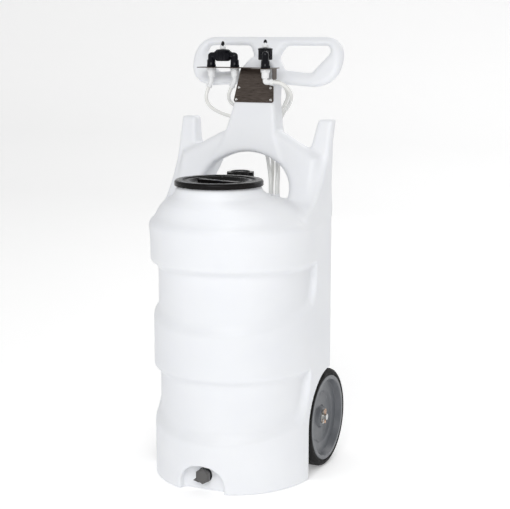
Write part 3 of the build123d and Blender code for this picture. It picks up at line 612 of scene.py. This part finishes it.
# Plastics as (dark, light, roughness range, features a metre of the skin, its depth in
# metres, features a metre of the tone, further shader inputs); metals as (dark, light,
# roughness range, stretch of the grain, features a metre, depth of the lines in metres).
EVEN = (1, 1, 1)
PLASTICS_AND_METALS = [
    # Natural polyethylene: cool white, satin and slightly translucent.
    ("moulding", moulded_plastic, (0.80, 0.815, 0.845), (0.85, 0.862, 0.885), (0.42, 0.54),
     260.0, 0.0003, 4.0, [("Subsurface Weight", 0.12),
                          ("Subsurface Radius", (0.012, 0.012, 0.014)),
                          ("Subsurface Scale", 0.6)]),
    # Satin black of the lid and the vent cap.
    ("lid_black", moulded_plastic, (0.003, 0.003, 0.003), (0.007, 0.006, 0.006), (0.20, 0.32),
     700.0, 0.0001, 9.0, [("Specular IOR Level", 0.16)]),
    # Matt seal rubber.
    ("seal", moulded_plastic, (0.015, 0.015, 0.015), (0.03, 0.03, 0.03), (0.6, 0.75),
     900.0, 0.0003),
    # Dark grey of the drain fitting.
    ("grey_plastic", moulded_plastic, (0.075, 0.073, 0.073), (0.105, 0.102, 0.10), (0.34, 0.5),
     500.0, 0.0003),
    # Mid grey of the wheel hubs.
    ("hub_grey", moulded_plastic, (0.105, 0.112, 0.124), (0.135, 0.142, 0.155), (0.28, 0.4),
     420.0, 0.0004),
    # Dusty black tyre rubber.
    ("tyre", moulded_plastic, (0.003, 0.003, 0.003), (0.008, 0.0075, 0.0075), (0.5, 0.72),
     800.0, 0.0003, 9.0, [("Specular IOR Level", 0.15)]),
    ("zinc", brushed_metal, (0.45, 0.45, 0.44), (0.66, 0.66, 0.64), (0.25, 0.42),
     EVEN, 160.0, 0.0001),
    ("pin_steel", brushed_metal, (0.42, 0.25, 0.16), (0.70, 0.52, 0.40), (0.22, 0.4),
     EVEN, 260.0, 0.0001),
    ("stainless", brushed_metal, (0.085, 0.068, 0.058), (0.15, 0.125, 0.11), (0.24, 0.40),
     (0.06, 1, 1), 900.0, 0.00005),
    ("screw_steel", brushed_metal, (0.6, 0.59, 0.58), (0.85, 0.84, 0.82), (0.12, 0.26),
     EVEN, 500.0, 0.00005),
    # Glossy black of the valves and elbows.
    ("valve_black", moulded_plastic, (0.002, 0.002, 0.004), (0.005, 0.005, 0.008), (0.10, 0.2),
     600.0, 0.00008, 9.0, [("Specular IOR Level", 0.22)]),
    # White polypropylene of the fittings.
    ("fitting_white", moulded_plastic, (0.78, 0.79, 0.80), (0.84, 0.845, 0.85), (0.25, 0.36),
     700.0, 0.0002, 9.0, [("Subsurface Weight", 0.15),
                          ("Subsurface Radius", (0.004, 0.004, 0.004))]),
    # Clear vinyl hose, milky where it is thick.
    ("hose_clear", moulded_plastic, (0.86, 0.86, 0.83), (0.92, 0.92, 0.90), (0.12, 0.24),
     300.0, 0.0001, 30.0, [("Transmission Weight", 0.15), ("IOR", 1.38)]),
]
MATERIALS = {name: make(name, *looks) for name, make, *looks in PLASTICS_AND_METALS}


def paint_cad_nodes():
    """CAD nodes whose shape is right stay, with the slot's own material."""
    for entry in frame["record"]["subparts"]:
        node = frame["nodes"][entry["node"]]
        node.data.materials.clear()
        node.data.materials.append(MATERIALS[entry["material_slot"]])


# ---------------------------------------------------------------- sub-parts
MOULDED_NODES = ["tank_base_left", "tank_base_right", "tank_front_left", "tank_front_right",
                 "tank_rear_left", "tank_rear_right", "tank_roof_left", "tank_roof_right",
                 "handle_frame"]


def build_moulding():
    """Tank, arms, arch, post and handle as one moulded skin."""
    axes = [np.arange(start, end, GRID) for start, end in zip(SKIN_LOW, SKIN_HIGH)]
    x, y, z = np.meshgrid(*axes, indexing="ij", sparse=True)
    vertices, faces = field_mesh(moulding_field(x, y, z), np.array(SKIN_LOW), GRID)
    mesh = bpy.data.meshes.new("moulding")
    mesh.from_pydata(vertices * MM, [], faces)
    mesh.shade_smooth()
    skin = bpy.data.objects.new("moulding", mesh)
    relax = skin.modifiers.new("relax", "SMOOTH")
    relax.factor = 0.5
    relax.iterations = 2
    finish_piece(skin, "tote", "moulding", MOULDED_NODES)


def build_lid():
    """Screw lid with a ribbed rim, a sunk middle and a grip bar."""
    rim = [(0, 748), (84, 748), (87, 754), (101, 754), (101, 746.5), (104.5, 746.5),
           (LID_R, 747.5), (LID_R, 757), (105.5, LID_TOP), (91, LID_TOP), (88, 757.5),
           (82, 757), (80, 759), (75, 759), (66, 751.5), (0, LID_FLOOR)]
    bar = rectangle(-62, 62, 8)
    shapes = [lathe(rim, place((0, LID_Y, 0)), 160),
              prism(bar, 7.5, place((0, LID_Y, LID_FLOOR), turn=LID_TURN))]
    piece("screw_lid", shapes, "lid_cover", "lid_black", ["lid"], bevel=0.9)


def build_vent_cap():
    """Vent cap with eight lobes and a raised ring on top."""
    steps = 160
    foot = VENT_Z + 6
    height = VENT_CAP_TOP - VENT_Z - 6
    lobed = []
    for step in range(steps):
        angle = tau * step / steps
        radius = 31.5 + 4.5 * abs(cos(4 * angle)) ** 0.7
        lobed.append((radius * cos(angle), radius * sin(angle)))
    top = [(0, 22), (24, 22), (24, height), (22, height), (20.5, height - 2), (0, height - 2)]
    where = place((*VENT, foot))
    shapes = [prism(lobed, height - 2.5, where), lathe(top, where, 64)]
    piece("vent_knob", shapes, "vent_cover", "lid_black", ["vent_cap"], bevel=1.2,
          smooth_angle=50)


def build_wheels():
    """Hubs with a raised lip and a boss, and ribbed tyres."""
    hub = [(8.05, 160.3), (8.05, 190), (22, 190), (26, 187.5), (30, 182), (62, 182), (69, 186.5),
           (93, 188), (100, 203), (110, 203), (110, 199), (104, 197), (104, 163), (110, 161),
           (110, 157), (101, 157), (97, 180), (68, 180), (63, 176), (24, 176), (24, 160.3)]
    half = [(104, 17), (110, 19), (112, 23.2), (117, 23.2), (122, 20.5), (125.5, 17), (127, 12.5),
            (127, 8.5), (125.6, 8), (125.6, 5.6), (127, 5.1)]
    tread = half + [(radius, -offset) for radius, offset in reversed(half)]
    tyre = [(radius, WHEEL_X + offset) for radius, offset in tread]
    for side, name in ((-1, "left"), (1, "right")):
        where = place((0, AXLE_Y, AXLE_Z), (side, 0, 0))
        piece(f"wheel_hub_{name}", [lathe(hub, where, 128)], f"wheel_{name}", "hub_grey",
              [f"hub_{name}"], bevel=1.4)
        piece(f"wheel_tyre_{name}", [lathe(tyre, where, 128)], f"wheel_{name}", "tyre",
              [f"tyre_{name}"], bevel=0.6)


def build_cotter_pins():
    """Bent wire pins through the ends of the axle."""
    shapes = []
    wire = [(1, -17), (1, 8), (6, 13), (5, 20), (-5, 20), (-6, 13), (-1, 8), (-1, -10), (-5, -16)]
    for side in (-1, 1):
        shapes.append(pipe([(side * PIN_X, AXLE_Y + back, AXLE_Z + up) for back, up in wire], 1.5))
    piece("split_pins", shapes, "tote", "pin_steel", ["cotter_pins"])


def build_drain():
    """Hexagon bulkhead and the hexagon plug with its tab."""
    face = NOTCH_Y - 2
    front = (0, -1, 0)
    wall = place((0, face, DRAIN_Z), front)
    flange = prism(ring_points(6, 17, 30), 6, wall)
    barrel = lathe([(10, -22), (14.6, -22), (14.6, 0.5), (10, 0.5)], wall, 48)
    piece("drain_flange", [flange, barrel], "tote", "grey_plastic", ["drain_bulkhead"], bevel=0.7)
    where = place((0, face - 6.3, DRAIN_Z), front)
    tab = [(-26, -13), (-14, -3), (-10, -17)]
    collar = [(0, 0.5), (15.5, 0.5), (15.5, 9.5), (14.5, 10.3), (0, 10.3)]
    spigot = [(0, -16), (9.9, -16), (9.9, 1), (0, 1)]
    shapes = [prism(ring_points(6, 20, 30), 9, where), lathe(collar, where, 48),
              lathe(spigot, where, 48), prism(tab, 5, place((0, face - 9.5, DRAIN_Z), front))]
    piece("drain_knob", shapes, "drain_stopper", "grey_plastic", ["drain_plug"], bevel=0.9)


def build_bracket():
    """Folded steel plate with a shelf, and its screws."""
    up = Vector((0, POST_LEAN, 1)).normalized()
    out = Vector((1, 0, 0)).cross(up)
    flat = Matrix((Vector((1, 0, 0)), up, out)).transposed().to_4x4()
    foot = Vector((0, *POST_FOOT)) + out * 0.1
    where = Matrix.Scale(MM, 4) @ Matrix.Translation(foot) @ flat
    reach = (SHELF_Z + 1.5 - POST_FOOT[1]) / up.z
    plate = [(-56, 4, 6), (56, 4, 6), (51, 47, 3), (27, 52, 3), (14, reach, 0), (-45, reach, 0)]
    shelf = [(-158, 108, 5), (12, 108, 3), (24, 44, 4), (70, 44, 4), (73, 60, 0), (73, 96, 0),
             (62, 140, 3), (-48, 140, 0), (-48, 152, 0), (-158, 152, 5)]
    tab = [(72, SHELF_Z - 26, 3), (96, SHELF_Z - 26, 3), (96, SHELF_Z + STEEL, 0),
           (72, SHELF_Z + STEEL, 0)]
    side = Matrix.Scale(MM, 4) @ Matrix.Translation((71, 0, 0)) @ Matrix(
        ((0, 0, 1, 0), (1, 0, 0, 0), (0, 1, 0, 0), (0, 0, 0, 1)))
    shapes = [prism(filleted(plate), STEEL, where),
              prism(filleted(shelf), STEEL, place((0, 0, SHELF_Z))),
              prism(filleted(tab), STEEL, side)]
    piece("steel_bracket", shapes, "tote", "stainless", ["valve_bracket"], bevel=0.35)
    head = [(0, 1.0), (1.8, 1.0), (1.8, 2.2), (2.6, 2.2), (3.6, 1.2), (3.6, 0), (0, 0)]
    heads = []
    for across, height in ((-48, 11), (48, 11), (-44, 42), (44, 42)):
        spot = where @ Matrix.Translation((across, height, STEEL))
        heads.append(lathe(head, spot, 32))
    piece("bracket_screw_heads", heads, "tote", "screw_steel", ["bracket_screws"], bevel=0.15)


def valve_arms(valve):
    """The two elbow axes of a valve, and the way from each to the valve's middle."""
    x, y, turn = valve
    along = Vector((cos(radians(turn)), sin(radians(turn)), 0))
    return [(Vector((x, y, 0)) - along * ELBOW_REACH * way, along * way) for way in (1, -1)]


def build_valve(valve, name):
    """Diverter valve: ribbed body, elbows, yoke and knob."""
    x, y, turn = valve
    lift = VALVE_LIFT[name]
    base = place((x, y, lift), turn=turn)
    barrel = [(0, 1039), (17, 1039), (17.6, 1041), (17.6, 1063), (18.6, 1064), (18.6, 1067),
              (14, 1069), (0, 1070)]
    block = rectangle(-21.5, 21.5, 13)
    rib = rectangle(16.8, 18.6, 1.1)
    shapes = [lathe(barrel, base, 64), prism(block, 17, base @ Matrix.Translation((0, 0, 1043)))]
    for step in range(8):
        spin = Matrix.Rotation(tau * (step + 0.5) / 8, 4, "Z")
        shapes.append(prism(rib, 23, base @ spin @ Matrix.Translation((0, 0, 1041))))
    piece(f"valve_{name}", shapes, "tote", "valve_black", [f"valve_body_{name}"], bevel=0.6)
    elbows = []
    collar = [(0, 1024), (11.2, 1024), (11.6, 1026), (11.6, 1029), (10.9, 1031), (10.9, 1041),
              (9.5, 1043), (0, 1043)]
    shoulder = [(0, -3), (11, -3), (11.6, -2), (11.6, 2), (11, 3), (0, 3)]
    up = Vector((0, 0, ELBOW_Z + lift))
    for spot, inward in valve_arms(valve):
        start = spot + Vector((0, 0, ELBOW_Z - 17))
        rise = spot + Vector((0, 0, ELBOW_Z - 3 + lift))
        corner = spot + up
        level = spot + inward * 5 + up
        end = spot + inward * (ELBOW_REACH - 17) + up
        elbows.append(pipe([start, rise, corner, level, end], 8.6))
        elbows.append(lathe(collar, place((spot.x, spot.y, 0)), 48))
        hexagon = place((spot.x, spot.y, SHELF_Z + STEEL))
        elbows.append(prism(ring_points(6, 12.9), 6, hexagon))
        elbows.append(lathe(shoulder, place(end - inward * 2, tuple(inward)), 48))
    piece(f"elbows_{name}", elbows, "tote", "valve_black", [f"valve_elbows_{name}"], bevel=0.4)
    yoke = [lathe([(2.6, 1070), (8, 1070), (8, 1076), (7.2, 1077), (2.6, 1077)], base, 48)]
    for way in (-1, 1):
        post = rectangle(way * 6.4 - 1.2, way * 6.4 + 1.2, 2.4)
        yoke.append(prism(post, 5, base @ Matrix.Translation((0, 0, 1076.5))))
    piece(f"yoke_{name}", yoke, "tote", "fitting_white", [f"valve_bonnet_{name}"], bevel=0.35)
    knob = [(0, 1070.4), (2.4, 1070.4), (2.4, 1079.5), (4.2, 1080.5), (4.6, 1083), (3.4, 1087.5),
            (1.6, 1089.3), (0, 1089.5)]
    lever = rectangle(-4.4, 4.4, 1.3)
    shapes = [lathe(knob, base, 48), prism(lever, 3, base @ Matrix.Translation((0, 0, 1079)))]
    piece(f"valve_knob_{name}", shapes, f"{name}_knob", "valve_black", [f"valve_stem_{name}"],
          bevel=0.4)


def build_shelf_fittings():
    """White bulkheads through the shelf, their nuts, and the barbs that turn to the hoses."""
    arms = [spot for spot, _ in valve_arms(LEFT_VALVE) + valve_arms(RIGHT_VALVE)]
    barrel = [(0, BULKHEAD_END), (6.5, BULKHEAD_END), (9.2, BULKHEAD_END + 2),
              (9.8, SHELF_Z - 9), (10.5, SHELF_Z - 8), (10.5, SHELF_Z - 3), (12.4, SHELF_Z - 2.5),
              (12.4, SHELF_Z - 0.1), (7.4, SHELF_Z - 0.1), (7.4, SHELF_Z + STEEL),
              (0, SHELF_Z + STEEL)]
    shapes = [lathe(barrel, place((spot.x, spot.y, 0)), 48) for spot in arms]
    piece("bulkhead_barrels", shapes, "tote", "fitting_white", ["shelf_bulkheads"], bevel=0.4)
    nuts = [prism(ring_points(6, 12.2, 10), 4.5, place((spot.x, spot.y, SHELF_Z - 8)))
            for spot in arms]
    piece("bulkhead_hex_nuts", nuts, "tote", "fitting_white", ["bulkhead_nuts"], bevel=0.5)
    bends = []
    ring = [(0, -3), (6.8, -3), (7.6, -2.2), (7.6, 2.2), (6.8, 3), (0, 3)]
    starts = ("hose_left_outer", "hose_left_inner", "hose_right_rear", "hose_right_front")
    for spot, hose in zip(arms, starts):
        first, second = HOSES[hose][1][:2]
        mouth = Vector(first) / MM
        way = (Vector(second) / MM - mouth).normalized()
        reach = hypot(mouth.x - spot.x, mouth.y - spot.y) / hypot(way.x, way.y)
        bend = mouth - way * reach
        top = Vector((spot.x, spot.y, BULKHEAD_END + 3))
        bends.append(pipe([top, (top + bend) / 2, bend, (bend + mouth) / 2, mouth], 6.4))
        bends.append(lathe(ring, place(mouth - way * 3.2, tuple(way)), 40))
    piece("hose_elbows", bends, "tote", "fitting_white", ["hose_barbs"], bevel=0.3)


def build_hoses():
    """Clear hoses that run down behind the post to the rear deck."""
    for name, (length, route) in HOSES.items():
        line = round_curve(name, route, HOSE_DIAMETER * MM / 2, 6)
        hose = bpy.data.objects.new(f"{name}_tube", line)
        finish_piece(hose, "tote", "hose_clear", [name])


# ---------------------------------------------------------------- stage
def build_stage():
    """Pale floor that curves up behind, an even world and two soft boxes."""
    floor = bmesh.new()
    left, right = ([floor.verts.new((side * FLOOR_HALF_WIDTH, y, z - FLOOR_DROP))
                    for y, z in FLOOR_LINE] for side in (-1, 1))
    for index in range(len(FLOOR_LINE) - 1):
        floor.faces.new((left[index], right[index], right[index + 1], left[index + 1]))
    mesh = bpy.data.meshes.new("floor")
    floor.to_mesh(mesh)
    floor.free()
    mesh.shade_smooth()
    ground = bpy.data.objects.new("floor", mesh)
    bpy.context.scene.collection.objects.link(ground)
    made, _, _, shader = new_material("floor")
    shader.inputs["Base Color"].default_value = (0.93, 0.93, 0.93, 1)
    shader.inputs["Roughness"].default_value = 0.9
    shader.inputs["Emission Color"].default_value = (1, 1, 1, 1)
    shader.inputs["Emission Strength"].default_value = FLOOR_GLOW
    mesh.materials.append(made)

    world = bpy.data.worlds.new("studio")
    world.use_nodes = True
    background = world.node_tree.nodes["Background"]
    background.inputs["Color"].default_value = (1, 1, 1, 1)
    background.inputs["Strength"].default_value = WORLD_STRENGTH
    bpy.context.scene.world = world
    for box in SOFT_BOXES:
        add_light(*box)
    bpy.context.scene.view_settings.view_transform = "Standard"


def add_light(name, place_at, size, power):
    """Square soft box that faces the middle of the object."""
    lamp = bpy.data.lights.new(name, "AREA")
    lamp.size = size
    lamp.energy = power
    holder = bpy.data.objects.new(name, lamp)
    holder.location = place_at
    aim = Vector(LIGHT_AIM) - Vector(place_at)
    holder.rotation_euler = aim.to_track_quat("-Z", "Y").to_euler()
    bpy.context.scene.collection.objects.link(holder)


def add_camera():
    """Camera at the photograph's own viewing angle."""
    lens = bpy.data.cameras.new("camera")
    lens.lens = CAMERA_LENS
    lens.sensor_width = CAMERA_SENSOR
    lens.clip_end = 50
    holder = bpy.data.objects.new("camera", lens)
    holder.location = CAMERA_PLACE
    holder.rotation_euler = (radians(90 - CAMERA_DOWN), 0, radians(CAMERA_ROUND))
    bpy.context.scene.collection.objects.link(holder)
    bpy.context.scene.camera = holder


paint_cad_nodes()
build_moulding()
build_lid()
build_vent_cap()
build_wheels()
build_cotter_pins()
build_drain()
build_bracket()
build_valve(LEFT_VALVE, "left")
build_valve(RIGHT_VALVE, "right")
build_shelf_fittings()
build_hoses()
build_stage()
add_camera()
